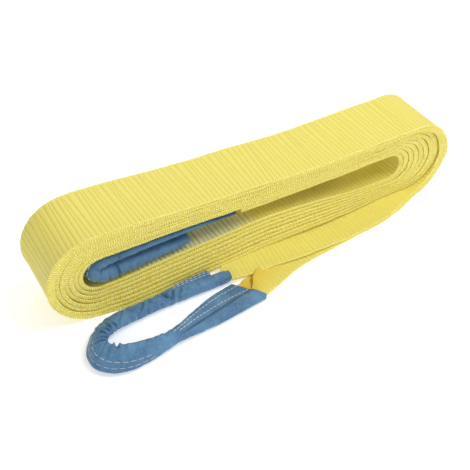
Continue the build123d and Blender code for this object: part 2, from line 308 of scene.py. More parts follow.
def lower_run(k, side):
    """Along the bottom from the left bend of turn k to the right bend of the turn inside it."""
    left, right = left_x(k), right_x(k - 1)
    start, level = left_lower(k), right_lower(k)
    x = np.linspace(left, right, RUN_SAMPLES)[1:]
    knots = np.concatenate([[left, left + 30], LOWER_BOW[:, 0], [right - 20, right]])

    def through(first, middle, last):
        return np.interp(x, knots, np.concatenate([first, middle, [last] * 2]))

    bow = LOWER_BOW[:, 1] + LOWER_BOW[:, 2] * (TURNS - k)
    z = blur(through([start] * 2, bow, level), RUN_SAMPLES / (right - left) * 13)
    z = z + (start - z[0]) * smooth(x, left + 60, left)
    z = z + (level - z[-1]) * smooth(x, x[-1] - 60, x[-1])
    pitch = blur(through([LEFT_PITCH] * 2, LOWER_BOW[:, 2], RIGHT_PITCH), 40)
    z = z - side * (PLY_OFFSET if is_outermost(k, side) else pitch / 4)
    out = fan(k, side)
    y = through([0.7 * out, 1.15 * out], out * LOWER_BOW[:, 3], -0.8 * (k - 1))
    return edge_table(x, y, z, PLY + 0.9 * (pitch / 2 - 3.6), pitch / 2)


def strap_path(side):
    """Distances along one ply, and its front edge as an edge table, from the tail inwards."""
    tail = along_curve(LOWER_TAIL if side > 0 else UPPER_TAIL, RUN_SAMPLES)
    x, front, back, z, thick = tail.T
    rows = [edge_table(x, front, z, thick, thick, back - front, 1.0)]
    for k in range(TURNS, 0, -1):
        rows += [right_bend(k, side), upper_run(k, side)]
        if k > 1:
            rows += [left_bend(k, side), lower_run(k, side)]
    path = np.concatenate(rows)
    length = np.concatenate([[0], np.cumsum(np.linalg.norm(np.diff(path[:, :3], axis=0), axis=1))])
    u = np.arange(0, length[-1], STEP)
    even = np.column_stack([np.interp(u, length, path[:, i]) for i in range(path.shape[1])])
    even[:, 1] = blur(even[:, 1], 18)
    even[:, 1] += 0.75 * wander(u, 1.0 + 0.7 * side, 310) + 0.35 * wander(u, 2.0 - side, 70)
    for column, sigma in ((0, 3), (2, 3), (4, 6), (6, 6)):
        even[:, column] = blur(even[:, column], sigma)
    return u, even


# one cross-section: share of the width's side (0 front, 1 back), distance in from it, height
SECTION = [
    (0, 0.35, 0.62), (0, 1.7, 1.0), (1, 1.7, 1.0), (1, 0.35, 0.62), (1, 0.06, 0.45), (1, 0.06, -0.45),
    (1, 0.35, -0.62), (1, 1.7, -1.0), (0, 1.7, -1.0), (0, 0.35, -0.62), (0, 0.06, -0.45), (0, 0.06, 0.45),
]


# painted sheen: the strap under the hollow is painted pale cream, as glancing light makes it look: x, height
# where that starts, height where it is full
PAINTED_SHEEN_ZONE = np.array([(70, 31, 33), (236, 40, 42.5), (300, 43, 46), (380, 36, 39)])


def painted_sheen_share(x, z):
    """Share of the painted pale sheen: 1 on the topmost lower runs, which line the hollow at the left, and 0
    elsewhere.
    """
    pale = smooth(z, np.interp(x, PAINTED_SHEEN_ZONE[:, 0], PAINTED_SHEEN_ZONE[:, 1]), np.interp(x, PAINTED_SHEEN_ZONE[:, 0], PAINTED_SHEEN_ZONE[:, 2]))
    return pale * smooth(x, 105, 135) * smooth(x, 300, 262) * (z < 62)


def ribbon(u, path, twist=1):
    """Rings and shader values of a strap with ribs across it and weft loops on its edges."""
    x, _, z, width, thick, on_tail, selvedge = path.T
    along = unit(np.gradient(path[:, :3], axis=0))
    rise = np.interp(x, [236, 256, 300, 380, 450], [0, 0.1, 0.075, 0.04, 0]) * on_tail
    width_way = np.column_stack([np.zeros(len(u)), np.ones(len(u)), rise])
    width_way = unit(width_way - along * (along * width_way).sum(1, keepdims=True))
    normal = np.cross(width_way, along)
    rib = np.abs(np.sin(np.pi * u / RIB)) ** 0.8
    tufts = np.random.default_rng(len(u)).uniform(0.35, 1.25, int(u[-1] / LOOP) + 4)
    # painted shadow: the lower tail is painted orange towards its back edge, at the crease where it runs
    # under the upper ply
    tail_shadow = on_tail * smooth(x, 335, 268) * (twist == 1)
    rings, values = [], {key: [] for key in ("along", "across", "through", "pale", "plain", "tail_shadow")}
    for end, inset, height in SECTION:
        inwards = 1 - 2 * end
        across = end * width + inwards * inset
        if inset > 1:
            out = 0.0
            depth = np.sign(height) * (thick / 2 - 0.5 + 0.5 * rib)
        else:
            turn = u / LOOP + 0.34 * np.sign(height) + 0.5 * end
            loops = 0.5 + 0.5 * np.cos(2 * np.pi * turn)
            out = 0.8 * loops * tufts[np.round(turn).astype(int) + 1]
            depth = height / 0.62 * selvedge * (0.9 + 0.1 * loops)
        shift = across - inwards * out
        rings.append(path[:, :3] + width_way * shift[:, None] + normal * depth[:, None])
        values["along"].append(u)
        values["across"].append(across)
        values["through"].append(np.full(len(u), height * twist))
        values["pale"].append(painted_sheen_share(x, z))
        values["plain"].append(on_tail)
        values["tail_shadow"].append(tail_shadow * smooth(across / width, 0.3, 0.85))
    return np.stack(rings, 1), {key: np.stack(v, 1) for key, v in values.items()}


def cut(rings, values, first, last):
    """A stretch of a ribbon."""
    return rings[first:last], {k: v[first:last] for k, v in values.items()}


paths, straps, tails = {}, {}, {}
for side, name, tail_name in ((1, "coil_outer", "tail_lower_ply"), (-1, "coil_inner", "tail_upper_ply")):
    u, path = paths[side] = strap_path(side)
    rings, values = ribbon(u, path, side)
    split = int(np.argmax(path[:, 5] < 0.5))
    straps[side] = tube(name + "_webbing", *cut(rings, values, split - 1, len(u)))
    tails[side] = tube(tail_name, *cut(rings, values, 0, split))
    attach(straps[side], "coil")
    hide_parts(name + "_ply")

# the folded-under layer of the lower ply where it enters the sleeve
UNDER_LAYER = [
    (222, -74, -52, 4.8, 1.4), (236, -77, -50, 4.4, 1.6), (250, -76, -46.5, 3.2, 1.9),
    (264, -73, -42, 1.6, 1.9), (284, -66, -36, 1.0, 1.6),
]
x, front, back, z, thick = along_curve(UNDER_LAYER, 100).T
rings, values = ribbon(np.linspace(0, 75, 100), edge_table(x, front, z, thick, thick, back - front))
# painted shadow: the whole folded-under layer is painted orange
values["tail_shadow"] = np.full_like(values["along"], 0.95)
tails[0] = tube("tail_folded_layer", rings, values)
for side, y in ((1, -70.0), (-1, -34.0), (0, -60.0)):
    start, end = metres([(BLEND_START_X, y, BLEND_Z), (BLEND_END_X, y, BLEND_Z)])
    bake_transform(tails[side])


# the two long seams between the plies
def seam_thread(name, inset):
    """A seam between the plies, along the same way as the strap."""
    u, path = paths[-1]
    keep = np.arange(int(np.argmax(path[:, 5] < 0.5)), len(u) - 30, 5)
    along = unit(np.gradient(path[:, :3], axis=0))[keep]
    width_way = unit(np.array([0.0, 1.0, 0.0]) - along * along[:, 1:2])
    normal = np.cross(width_way, along)
    gap = path[keep, 4:5] / 2 + 0.14
    base = path[keep, :3] + width_way * inset + normal * gap
    corners = [(-0.6, -0.09), (0.6, -0.09), (0.6, 0.09), (-0.6, 0.09)]
    rings = np.stack([base + width_way * a + normal * b for a, b in corners], 1)
    return tube(name, rings)


seam_threads = []
for name, inset in SEAM_INSETS.items():
    thread = seam_thread(name + "_thread", inset)
    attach(thread, "coil")
    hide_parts(name)
    seam_threads.append(thread)

# ---- the free eye -----------------------------------------------------------------------
# x, y, z, width, thickness, lean in degrees
STATIONS = [
    (230, -35.6, 8.9, 15.5, 15, 0), (198, -34.2, 8.9, 16.8, 15.8, 0), (165, -33.8, 8.9, 17.2, 15.8, 0),
    (132, -33.6, 9.2, 17.4, 16, 2), (100, -35, 9.6, 19.2, 16.5, 8), (78, -37, 10.6, 21.5, 16.8, 14),
    (60, -41, 11.9, 24, 16, 22), (46, -48.5, 13.4, 27.5, 15, 30), (37, -58.5, 14.8, 30, 14.4, 36),
    (31, -71, 16.0, 32.5, 13.8, 39), (32, -84, 16.9, 34, 13, 43), (41.5, -95, 17.0, 34, 12.6, 47),
    (57, -101, 16.6, 32.5, 12.4, 53), (76, -102, 15.4, 29, 12.4, 58), (97, -99.6, 13.4, 23, 12.8, 56),
    (118, -95.6, 11.9, 18.5, 13, 48), (136, -92.4, 11.6, 21, 12.6, 38), (156, -88, 11.0, 28, 11.6, 26),
    (178, -82.6, 10.0, 35, 10.6, 17), (201, -77, 8.6, 41, 10, 9), (222, -72.4, 6.8, 45, 9.7, 4),
    (241, -68.6, 5.4, 47, 9.5, 2),
]
eye = along_curve(STATIONS, EYE_RINGS)
eye_along = unit(np.gradient(eye[:, :3] * [1, 1, 0.6], axis=0))
eye_s = np.concatenate([[0], np.cumsum(np.linalg.norm(np.diff(eye[:, :3], axis=0), axis=1))])
eye_length = eye_s[-1]


def at_x(x, leg):
    """Distance along the eye where it passes x on its back leg (0) or its front leg (1)."""
    half = int(np.argmin(eye[:, 0]))
    if leg == 0:
        return float(np.interp(-x, -eye[:half, 0], eye_s[:half]))
    return float(np.interp(x, eye[half:, 0], eye_s[half:]))


TIP_S = float(eye_s[int(np.argmin(eye[:, 0]))])

# creases of the sleeve: place along, angle round the section, slant, reach along, reach round, depth
CREASES = [
    (TIP_S - 58, 150, 30, 2.0, 45, 1.5), (TIP_S - 50, 158, -14, 1.7, 58, 2.4),
    (TIP_S - 41, 140, 20, 1.9, 62, 3.2), (TIP_S - 33, 150, -16, 1.6, 54, 3.0),
    (TIP_S - 24, 138, 20, 1.9, 66, 3.4), (TIP_S - 14, 158, -8, 1.6, 52, 2.6),
    (TIP_S - 5, 150, 14, 1.8, 58, 2.6), (TIP_S + 7, 150, -12, 1.8, 46, 1.6),
    (TIP_S + 17, 132, 12, 2.4, 40, 0.9), (TIP_S + 28, 178, -6, 2.4, 34, 4.2),
    (TIP_S + 38, 150, 10, 3.0, 40, 0.7), (TIP_S + 52, 146, -14, 3.4, 40, 0.8),
    (TIP_S - 66, 96, 40, 2.0, 30, 1.3), (TIP_S - 29, 84, 30, 1.9, 50, 2.0),
    (TIP_S - 47, 70, -32, 2.2, 46, 1.3), (TIP_S + 62, 130, 34, 2.6, 34, 1.2),
    (TIP_S + 80, 150, -22, 2.4, 36, 1.3), (TIP_S + 94, 158, 20, 2.6, 36, 1.4),
    (at_x(146, 0), 112, 24, 2.2, 60, 4.2), (at_x(138, 0), 92, -34, 2.0, 50, 3.4),
    (at_x(158, 0), 96, 40, 2.4, 40, 1.6), (at_x(104, 0), 110, 34, 2.2, 46, 1.8),
    (at_x(90, 0), 96, -30, 2.2, 46, 1.8), (at_x(170, 0), 112, -28, 2.6, 40, 1.3),
    (at_x(118, 0), 96, -40, 2.2, 40, 1.5), (at_x(153, 0), 168, 16, 2.2, 40, 1.8),
    (at_x(129, 0), 172, -16, 2.0, 34, 1.8), (at_x(120, 0), 150, 22, 2.6, 42, 1.3),
    (at_x(110, 0), 186, -10, 2.0, 34, 1.4), (at_x(96, 0), 176, 14, 2.2, 36, 1.4),
    (at_x(84, 0), 160, -18, 2.6, 38, 1.4), (at_x(176, 0), 130, 30, 4.0, 40, 0.8),
    (at_x(196, 0), 96, -36, 5.0, 46, 0.7), (at_x(214, 0), 140, 22, 3.6, 40, 0.6),
]


def crease_shape(s, phi, place, angle, slant, reach, spread, rim):
    """A groove of depth 1 at a place and an angle, with a raised rim on each side of it."""
    turn = (np.degrees(phi) % 360 - angle + 180) % 360 - 180
    off = np.abs(s - place - slant * np.radians(turn) * 0.16) / reach
    return np.exp(-((turn / spread) ** 2)) * (np.exp(-(off**2)) - rim * np.exp(-(((off - 2.1) / 1.1) ** 2)))


def eye_surface(s, phi, shrink=0.0):
    """Points of the sleeve at distances s along the eye and angles phi round it."""
    s, phi = np.broadcast_arrays(np.asarray(s, float), np.asarray(phi, float))
    x, y, z, w, t, lean = (np.interp(s, eye_s, eye[:, i]) for i in range(6))
    ax, ay = (np.interp(s, eye_s, eye_along[:, i]) for i in range(2))
    norm = np.hypot(ax, ay)
    ax, ay = ax / norm, ay / norm
    out = np.stack([ay, -ax, np.zeros_like(ax)], -1)
    tilt = np.radians(lean)[..., None]
    across = out * np.cos(tilt) + np.array([0, 0, -1.0]) * np.sin(tilt)
    up = out * np.sin(tilt) + np.array([0, 0, 1.0]) * np.cos(tilt)
    c, d = np.cos(phi), np.sin(phi)
    power = 2 / 2.5
    p = np.sign(c) * np.abs(c) ** power
    q = np.sign(d) * np.abs(d) ** power
    thin_side = 1 - smooth(p, 0.02, 0.16)
    front = smooth(s, at_x(116, 1), at_x(160, 1))
    bight = smooth(s, TIP_S - 70, TIP_S - 20) * (1 - smooth(s, TIP_S + 50, TIP_S + 90))
    # the sewn edge is thin: on the inside of the front leg, on the outside of the bight
    thin = 1 - 0.62 * front * thin_side - 0.42 * bight * smooth(p, 0.15, 0.75)
    lift = 0.16 * front * thin_side
    crease = front * (1 - smooth(s, at_x(196, 1), at_x(214, 1)))
    crease = crease * np.exp(-(((p - 0.12) / 0.08) ** 2)) * (d > 0)
    a = w / 2 - shrink
    b = t / 2 - shrink
    u = a * p
    v = b * (q * thin - lift * 0.6) - 3.4 * crease
    # soft unevenness and the creases
    bulge = 0.35 * wander(s + 9 * np.sin(phi + 1), 1.3, 63) * np.cos(phi * 2 + s / 40)
    bulge = bulge + 0.16 * wander(s + 14 * np.cos(phi * 2), 2.1, 21)
    bulge = bulge + 0.10 * np.sin(s / 2.3 + 3 * np.sin(phi * 2 + s / 17))
    for place, angle, slant, reach, spread, depth in CREASES:
        groove = crease_shape(s, phi, place, angle, slant, reach, spread, 0.42)
        bulge = bulge - min(1.35 * depth, 4.2) * groove
    if shrink:
        bulge = bulge * 0
    mouth = smooth(s, 9, 0) * 1.3
    bulge = bulge - mouth
    u = u + bulge * c
    v = v + bulge * d
    # the front leg's end is cut aslant
    slant = smooth(s, eye_length - 60, eye_length) * (11.5 * p - 5.0 * smooth(p, 0.86, 1.0))
    base = np.stack([x, y, z], -1) + np.stack([ax, ay, np.zeros_like(ax)], -1) * slant[..., None]
    points = base + across * u[..., None] + up * v[..., None]
    points[..., 2] = np.maximum(points[..., 2], 0.15 + shrink)
    return points


def eye_grid(s, shrink=0.0, around=EYE_AROUND):
    phi = np.linspace(0, 2 * np.pi, around, endpoint=False)
    return eye_surface(s[:, None], phi[None, :], shrink)


def double_wall(name, outer, inner, s_values, girth):
    """A sleeve with an outer and an inner face, joined at its two mouths."""
    count, around, _ = outer.shape
    points = np.concatenate([outer.reshape(-1, 3), inner.reshape(-1, 3)])
    q1 = tube_quads(count, around, capped=False)
    q2 = tube_quads(count, around, capped=False, first=count * around)[:, ::-1]
    j = np.arange(around)
    k = (j + 1) % around
    inner_first = count * around
    last = (count - 1) * around
    rim1 = np.stack([j, k, inner_first + k, inner_first + j], -1)
    rim2 = np.stack([last + k, last + j, inner_first + last + j, inner_first + last + k], -1)
    quads = np.concatenate([q1, q2, rim1, rim2])
    along = np.repeat(s_values[:, None], around, 1)
    turn = np.repeat(np.linspace(0, 1, around, endpoint=False)[None, :] * girth, count, 0)
    values = {"along": np.concatenate([along, along]), "across": np.concatenate([turn, turn])}
    return add_mesh(name, points, quads, values)


s_ring = np.linspace(0, eye_length, EYE_RINGS)
outer_wall = eye_grid(s_ring)
way_in = outer_wall.mean(1, keepdims=True) - outer_wall
wall = np.minimum(1.0, 0.3 * np.linalg.norm(way_in, axis=-1, keepdims=True))
inner_wall = outer_wall + unit(way_in) * wall
sleeve = double_wall("free_eye_sleeve_cloth", outer_wall, inner_wall, s_ring, 60.0)
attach(sleeve, "free_eye")
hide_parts("free_eye_sleeve")

inside_rings = eye_grid(np.linspace(8, eye_length - 16, 240), shrink=4.6, around=24)
inside = tube("free_eye_webbing_folded", inside_rings)
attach(inside, "free_eye")
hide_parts("free_eye_webbing")

# the sewn edge that stands up behind the back leg: x, y, z, how far it stands up
SEWN_EDGE = [
    (206, -28.4, 13.6, 5.4), (202, -28.2, 13.6, 8.2), (186, -27.9, 13.5, 7.8), (166, -27.6, 13.5, 6.6),
    (148, -27.6, 13.5, 4.2), (130, -28.0, 13.4, 1.4), (122, -28.4, 13.2, 0.5),
]
# round its section: share of its height, distance from its middle
SEWN_EDGE_SECTION = [
    (-0.25, 0.6), (0.3, 0.8), (0.7, 0.75), (0.97, 0.55), (1.0, 0.0),
    (0.97, -0.55), (0.7, -0.75), (0.3, -0.8), (-0.25, -0.6), (-0.4, 0.0),
]
flange_path = along_curve(SEWN_EDGE, 160)
lean_way = np.array([0.0, 0.785, 0.62])
face_way = np.array([0.0, -0.62, 0.785])
ripple = 0.35 * np.sin(flange_path[:, 0:1] / 5.1) + 0.2 * np.sin(flange_path[:, 0:1] / 2.3 + 1)
flange_rings = np.stack([
    flange_path[:, :3] + lean_way * flange_path[:, 3:4] * share + face_way * (half + ripple * max(share, 0))
    for share, half in SEWN_EDGE_SECTION
], 1)
flange_piece = tube("free_eye_sleeve_sewn_edge", flange_rings, {
    "along": np.repeat(flange_path[:, 0:1], len(SEWN_EDGE_SECTION), 1),
    "across": np.repeat(np.linspace(0, 12, len(SEWN_EDGE_SECTION))[None, :], len(flange_path), 0),
})
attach(flange_piece, "free_eye")


# ---- stitches -----------------------------------------------------------------------------
def stitches(name, points, normals, body, length=6.6, gap=2.0, radius=0.42, node=None, slot="sleeve_thread"):
    """A row of separate stitches that lie on a surface along points."""
    points, normals = np.asarray(points), np.asarray(normals)
    s = np.concatenate([[0], np.cumsum(np.linalg.norm(np.diff(points, axis=0), axis=1))])
    number = max(1, int((s[-1] + gap) / (length + gap)))
    stretch = (s[-1] + gap) / (number * (length + gap))
    vertices, quads = [], []
    for n in range(number):
        first = n * (length + gap) * stretch
        at = np.linspace(first, first + length * stretch, 7)
        p = np.column_stack([np.interp(at, s, points[:, i]) for i in range(3)])
        up = unit(np.column_stack([np.interp(at, s, normals[:, i]) for i in range(3)]))
        along = unit(np.gradient(p, axis=0))
        sideways = np.cross(along, up)
        thick = radius * np.array([0.55, 0.9, 1, 1, 1, 0.9, 0.55])
        sink = np.array([-0.55, 0.15, 0.3, 0.32, 0.3, 0.15, -0.55]) * radius
        rings = []
        for a in np.linspace(0, 2 * np.pi, 6, endpoint=False):
            height, side = sink + thick * np.sin(a), 1.15 * thick * np.cos(a)
            rings.append(p + up * height[:, None] + sideways * side[:, None])
        rings = np.stack(rings, 1)
        quads.append(tube_quads(7, 6, first=7 * 6 * n))
        vertices.append(rings.reshape(-1, 3))
    row = add_mesh(name, np.concatenate(vertices), np.concatenate(quads))
    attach(row, body)
    if node:
        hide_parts(node)
    return row


def eye_row(name, s0, s1, phi0, phi1, node, **size):
    """A row of stitches on the free eye, between two places and two angles."""
    s = np.linspace(s0, s1, 200)
    phi = np.radians(np.linspace(phi0, phi1, 200))
    p = eye_surface(s, phi)
    n = np.cross(eye_surface(s, phi + 0.02) - p, eye_surface(s + 0.4, phi) - p)
    outward = p - np.column_stack([np.interp(s, eye_s, eye[:, i]) for i in range(3)])
    n = unit(n) * np.sign((n * outward).sum(1))[:, None]
    return stitches(name, p, n, "free_eye", node=node, **size)


LEG_STITCH = {"length": 4.6, "gap": 1.2, "radius": 0.36}
BIGHT_STITCH = {"length": 7.4, "radius": 0.36}
bight_rows = [
    eye_row("free_eye_stitches_upper", TIP_S - 14, TIP_S + 66, 92, 74, "free_eye_seam_upper", **BIGHT_STITCH),
    eye_row("free_eye_stitches_lower", TIP_S - 20, TIP_S + 70, 62, 46, "free_eye_seam_lower", **BIGHT_STITCH),
]
sleeve_rows = []
for end, x, phi0, phi1 in (("back", 120, 134, 128), ("front", 128, 108, 92)):
    sleeve_rows.append(eye_row(
        "free_eye_leg_stitches_" + end, at_x(x, 1), eye_length - 1, phi0, phi1, "free_eye_leg_seam_" + end,
        **LEG_STITCH,
    ))
for name, share in (("sewn_edge_stitches_low", 0.42), ("sewn_edge_stitches_high", 0.78)):
    keep = slice(4, 100)
    p = flange_path[keep, :3] + lean_way * (flange_path[keep, 3:4] * share) + face_way * 0.8
    up = np.repeat(face_way[None, :], len(p), 0)
    sleeve_rows.append(stitches(name, p, up, "free_eye", length=4.4, gap=1.6, radius=0.32))

# a bar tack on the folded layer beside the sleeve
p = np.column_stack([np.linspace(246, 250, 12), np.linspace(-67, -62, 12), np.full(12, 6.9)])
up = np.repeat([[0.0, 0, 1]], 12, 0)
bar_tack = stitches("free_eye_bar_tack", p, up, "free_eye", length=1.6, gap=0.6, radius=0.35)

# ---- the inner eye ------------------------------------------------------------------------
# the path of its middle in x and z, then half the thickness, front edge and width
INNER = [
    (195, 55.0, 3.6, 3, 45), (191, 54.8, 5.4, 2.2, 46), (172, 53.6, 7.0, 1, 46),
    (150, 52.3, 8.0, 1.4, 46), (130, 51.3, 8.7, 0, 46), (110, 50.7, 9.3, -0.6, 46),
    (92, 49.6, 10.8, -0.6, 45), (77, 50.2, 11.8, -1.4, 45), (68, 54.6, 11.8, -1, 45),
    (65.6, 60.6, 11.8, -1, 45), (69.5, 66.6, 10, 0.8, 45), (81, 69.6, 8.6, 0.8, 45),
    (94, 71.0, 7.9, 1, 45), (110, 71.7, 7.3, 1, 46), (130, 72.2, 6.6, 1.2, 46),
    (154, 72.6, 5.9, 1.4, 46), (180, 72.8, 5.2, 1.6, 46), (210, 72.6, 4.3, 2, 46),
    (238, 72.0, 3.3, 2.6, 46), (262, 70.9, 1.8, 3, 45),
]
inner_path = along_curve(INNER, 420)
inner_s = np.concatenate([[0], np.cumsum(np.hypot(*np.diff(inner_path[:, :2], axis=0).T))])
inner_along = unit(np.gradient(inner_path[:, :2], axis=0))
BEND_S = float(inner_s[int(np.argmin(inner_path[:, 0]))])
INNER_CREASES = [
    (BEND_S - 8, 180, 20, 2.0, 50, 2.2), (BEND_S + 6, 160, -16, 2.0, 50, 2.0),
    (BEND_S - 22, 140, 14, 1.8, 60, 3.0), (BEND_S - 34, 190, 6, 1.5, 80, 5.2),
    (BEND_S - 48, 165, -12, 1.8, 48, 2.0), (BEND_S - 60, 150, 16, 1.5, 40, 2.6),
    (BEND_S - 69, 140, -12, 1.4, 36, 2.2), (BEND_S - 81, 150, 18, 1.8, 36, 1.7),
    (BEND_S - 92, 165, -14, 2.4, 30, 1.0), (BEND_S - 104, 176, 10, 2.6, 44, 1.2),
    (BEND_S + 20, 170, 12, 2.2, 50, 1.6), (BEND_S + 36, 160, -18, 2.4, 46, 1.1),
    (BEND_S + 60, 170, 20, 3.0, 46, 0.9), (BEND_S - 124, 170, 8, 2.8, 46, 0.9),
]


def inner_surface(s, phi, shrink=0.0):
    """phi 0 is the back edge, 90 the outer face, 180 the front edge, 270 the inner face."""
    s, phi = np.broadcast_arrays(np.asarray(s, float), np.asarray(phi, float))
    x, z, half, y0, w = (np.interp(s, inner_s, inner_path[:, i]) for i in range(5))
    ax, az = (np.interp(s, inner_s, inner_along[:, i]) for i in range(2))
    norm = np.hypot(ax, az)
    nx, nz = az / norm, -ax / norm
    c, d = np.cos(phi), np.sin(phi)
    p = np.sign(c) * np.abs(c) ** 0.62
    q = np.sign(d) * np.abs(d) ** 0.8
    bulge = 0.3 * wander(s + 12 * np.sin(phi), 0.7, 47) * np.sin(phi * 2 + s / 30)
    bulge = bulge + 0.14 * wander(s + 11 * np.cos(phi), 1.9, 19)
    for place, angle, slant, reach, spread, depth in INNER_CREASES:
        groove = crease_shape(s, phi, place, angle, slant, reach, spread, 0.4)
        bulge = bulge - 0.7 * depth * groove
    if shrink:
        bulge = bulge * 0
    across = (w / 2 - shrink) * p + bulge * c
    depth = (half - np.minimum(shrink, 0.45 * half)) * q + bulge * d
    return np.stack([x - nx * depth, y0 + w / 2 + across, z - nz * depth], -1)


def inner_grid(s, around, shrink=0.0):
    phi = np.linspace(0, 2 * np.pi, around, endpoint=False)
    return inner_surface(s[:, None], phi[None, :], shrink)


s_in = np.linspace(0, inner_s[-1], INNER_RINGS)
outer_wall = inner_grid(s_in, INNER_AROUND)
way_in = outer_wall.mean(1, keepdims=True) - outer_wall
way_in[..., 1] *= 0.3
inner_wall = outer_wall + unit(way_in) * 0.8
inner_cloth = double_wall("inner_eye_sleeve_cloth", outer_wall, inner_wall, s_in, INNER_GIRTH)
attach(inner_cloth, "coil")
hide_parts("inner_eye_sleeve")
inner_web = tube("inner_eye_webbing_folded", inner_grid(np.linspace(3, inner_s[-1], 200), 20, shrink=4.8))
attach(inner_web, "coil")
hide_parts("inner_eye_webbing")
inner_rows = []
for end, angle in (("near", 128), ("far", 108)):
    s = np.linspace(BEND_S - 70, BEND_S + 20, 200)
    phi = np.full(200, np.radians(angle))
    p = inner_surface(s, phi)
    up = unit(p - inner_surface(s, phi, shrink=2.0))
    inner_rows.append(stitches("inner_eye_stitches_" + end, p, up, "coil", node="inner_eye_seam_" + end))

# ---- the label ------------------------------------------------------------------------------
# round the label's section: share of its width, height
LABEL_SECTION = [
    (0.0, 0.0), (0.01, 0.35), (0.5, 0.38), (0.99, 0.35),
    (1.0, 0.0), (0.99, -0.35), (0.5, -0.38), (0.01, -0.35),
]
flap_low, flap_high = (np.array(c) * 1000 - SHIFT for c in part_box("label_flap"))
t = np.linspace(0, 1, 60)
drop = flap_high[2] - flap_low[2] - 1.0
label_x = flap_low[0] + (flap_high[0] - flap_low[0]) * t
label_z = flap_high[2] - 0.5 - drop * (0.8 * t + 0.2 * t**1.6)
rings = []
for share, half in LABEL_SECTION:
    y = flap_low[1] + (flap_high[1] - flap_low[1]) * share
    curl = -0.8 * np.sin(np.pi * share) * t - 0.5
    rings.append(np.column_stack([label_x, np.full(60, y), label_z + half + curl]))
flap = tube("label_flap_cloth", np.stack(rings, 1))
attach(flap, "label")
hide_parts("label_flap")


# ---- materials ------------------------------------------------------------------------------
class Nodes:
    """A short way to write a material's nodes."""

    def __init__(self, name):
        self.material = bpy.data.materials.new(name)
        self.material.use_nodes = True
        self.tree = self.material.node_tree
        self.tree.nodes.clear()
        self.shader = self.tree.nodes.new("ShaderNodeBsdfPrincipled")
        output = self.tree.nodes.new("ShaderNodeOutputMaterial")
        self.tree.links.new(self.shader.outputs["BSDF"], output.inputs["Surface"])

    def put(self, socket, value):
        if isinstance(value, bpy.types.NodeSocket):
            self.tree.links.new(value, socket)
        else:
            socket.default_value = value

    def math(self, operation, a, b=0.0):
        node = self.tree.nodes.new("ShaderNodeMath")
        node.operation = operation
        for socket, value in zip(node.inputs, (a, b)):
            self.put(socket, value)
        return node.outputs[0]

    def read(self, name):
        node = self.tree.nodes.new("ShaderNodeAttribute")
        node.attribute_name = name
        return node.outputs["Fac"]

    def place(self):
        return self.tree.nodes.new("ShaderNodeTexCoord").outputs["Object"]

    def vector(self, x, y, z=0.0):
        node = self.tree.nodes.new("ShaderNodeCombineXYZ")
        for socket, value in zip(node.inputs, (x, y, z)):
            self.put(socket, value)
        return node.outputs[0]

    def noise(self, vector, scale, detail=3.0, rough=0.5):
        node = self.tree.nodes.new("ShaderNodeTexNoise")
        self.put(node.inputs["Vector"], vector)
        node.inputs["Scale"].default_value = scale
        node.inputs["Detail"].default_value = detail
        node.inputs["Roughness"].default_value = rough
        return node.outputs["Fac"]

    def ramp(self, value, low, high):
        node = self.tree.nodes.new("ShaderNodeMapRange")
        node.interpolation_type = "SMOOTHSTEP"
        self.put(node.inputs["Value"], value)
        node.inputs["From Min"].default_value = low
        node.inputs["From Max"].default_value = high
        return node.outputs["Result"]

    def mix(self, share, a, b):
        node = self.tree.nodes.new("ShaderNodeMix")
        node.data_type = "RGBA"
        self.put(node.inputs[0], share)
        for socket, value in ((node.inputs[6], a), (node.inputs[7], b)):
            self.put(socket, value if isinstance(value, bpy.types.NodeSocket) else (*value, 1.0))
        return node.outputs[2]

    def bump(self, height, distance, strength=1.0, normal=None):
        node = self.tree.nodes.new("ShaderNodeBump")
        node.inputs["Strength"].default_value = strength
        node.inputs["Distance"].default_value = distance
        self.put(node.inputs["Height"], height)
        if normal is not None:
            self.put(node.inputs["Normal"], normal)
        return node.outputs["Normal"]

    def finish(self, colour, rough, normal=None, sheen=0.0, sheen_rough=0.5, specular=0.35):
        self.put(self.shader.inputs["Base Color"], colour)
        self.put(self.shader.inputs["Roughness"], rough)
        if normal is not None:
            self.put(self.shader.inputs["Normal"], normal)
        self.shader.inputs["Sheen Weight"].default_value = sheen
        self.shader.inputs["Sheen Roughness"].default_value = sheen_rough
        self.shader.inputs["Specular IOR Level"].default_value = specular
        return self.material


